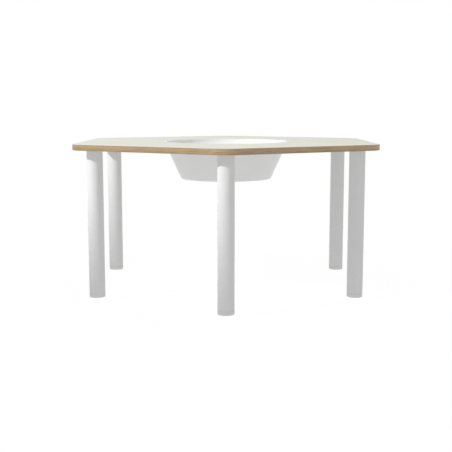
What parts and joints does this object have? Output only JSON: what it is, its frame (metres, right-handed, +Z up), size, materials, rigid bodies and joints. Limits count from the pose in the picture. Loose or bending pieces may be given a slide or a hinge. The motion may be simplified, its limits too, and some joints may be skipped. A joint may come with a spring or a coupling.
{
  "type": "hexagonal children's play table with basin",
  "caption": "Low hexagonal play table with a laminated plywood top on tubular steel legs with levelling feet, and a round lift-out basin set flush into the middle of the top.",
  "frame": {"origin": "on the floor under the table's centre", "axes": "+Z up; -Y towards the front corner of the hexagon and its leg; +X towards the middle of the flat on the right"},
  "size_m": [1.048, 1.1846, 0.53],
  "materials": {
    "laminate_ivory": "pale ivory high-pressure laminate, fine matt texture",
    "laminate_backing": "plain off-white balancing laminate, matt",
    "birch_ply": "clear-lacquered birch plywood edge with thin veneer lines, satin",
    "basin_plastic": "white thermoformed sheet, soft satin",
    "coated_steel": "white fine-texture powder coat, satin",
    "foot_plastic": "white moulded polyamide, matt",
    "cast_hub": "tumbled die-casting, matt",
    "screw_steel": "bright zinc plate, satin"
  },
  "bodies": {
    "table": {"top_core": "birch_ply", "top_laminate": "laminate_ivory", "bottom_laminate": "laminate_backing", "leg_tube_front": "coated_steel", "leg_tube_front_right": "coated_steel", "leg_tube_back_right": "coated_steel", "leg_tube_back": "coated_steel", "leg_tube_back_left": "coated_steel", "leg_tube_front_left": "coated_steel", "leg_hub_front": "cast_hub", "leg_hub_front_right": "cast_hub", "leg_hub_back_right": "cast_hub", "leg_hub_back": "cast_hub", "leg_hub_back_left": "cast_hub", "leg_hub_front_left": "cast_hub", "hub_screws_front": "screw_steel", "hub_screws_front_right": "screw_steel", "hub_screws_back_right": "screw_steel", "hub_screws_back": "screw_steel", "hub_screws_back_left": "screw_steel", "hub_screws_front_left": "screw_steel", "lock_screw_front": "screw_steel", "lock_screw_front_right": "screw_steel", "lock_screw_back_right": "screw_steel", "lock_screw_back": "screw_steel", "lock_screw_back_left": "screw_steel", "lock_screw_front_left": "screw_steel", "foot_plug_front": "foot_plastic", "foot_plug_front_right": "foot_plastic", "foot_plug_back_right": "foot_plastic", "foot_plug_back": "foot_plastic", "foot_plug_back_left": "foot_plastic", "foot_plug_front_left": "foot_plastic", "plug_nut_front": "screw_steel", "plug_nut_front_right": "screw_steel", "plug_nut_back_right": "screw_steel", "plug_nut_back": "screw_steel", "plug_nut_back_left": "screw_steel", "plug_nut_front_left": "screw_steel"},
    "basin": {"basin": "basin_plastic"},
    "foot_front": {"foot_stud_front": "screw_steel", "foot_pad_front": "foot_plastic"},
    "foot_front_right": {"foot_stud_front_right": "screw_steel", "foot_pad_front_right": "foot_plastic"},
    "foot_back_right": {"foot_stud_back_right": "screw_steel", "foot_pad_back_right": "foot_plastic"},
    "foot_back": {"foot_stud_back": "screw_steel", "foot_pad_back": "foot_plastic"},
    "foot_back_left": {"foot_stud_back_left": "screw_steel", "foot_pad_back_left": "foot_plastic"},
    "foot_front_left": {"foot_stud_front_left": "screw_steel", "foot_pad_front_left": "foot_plastic"}
  },
  "joints": [
    {"name": "basin_lift", "type": "slide", "parent": "table", "child": "basin", "axis": [0, 0, 1], "range_m": [0, 0.16]},
    {"name": "foot_front_screw", "type": "slide", "parent": "table", "child": "foot_front", "axis": [0, 0, -1], "range_m": [0, 0.015]},
    {"name": "foot_front_right_screw", "type": "slide", "parent": "table", "child": "foot_front_right", "axis": [0, 0, -1], "range_m": [0, 0.015]},
    {"name": "foot_back_right_screw", "type": "slide", "parent": "table", "child": "foot_back_right", "axis": [0, 0, -1], "range_m": [0, 0.015]},
    {"name": "foot_back_screw", "type": "slide", "parent": "table", "child": "foot_back", "axis": [0, 0, -1], "range_m": [0, 0.015]},
    {"name": "foot_back_left_screw", "type": "slide", "parent": "table", "child": "foot_back_left", "axis": [0, 0, -1], "range_m": [0, 0.015]},
    {"name": "foot_front_left_screw", "type": "slide", "parent": "table", "child": "foot_front_left", "axis": [0, 0, -1], "range_m": [0, 0.015]}
  ]
}
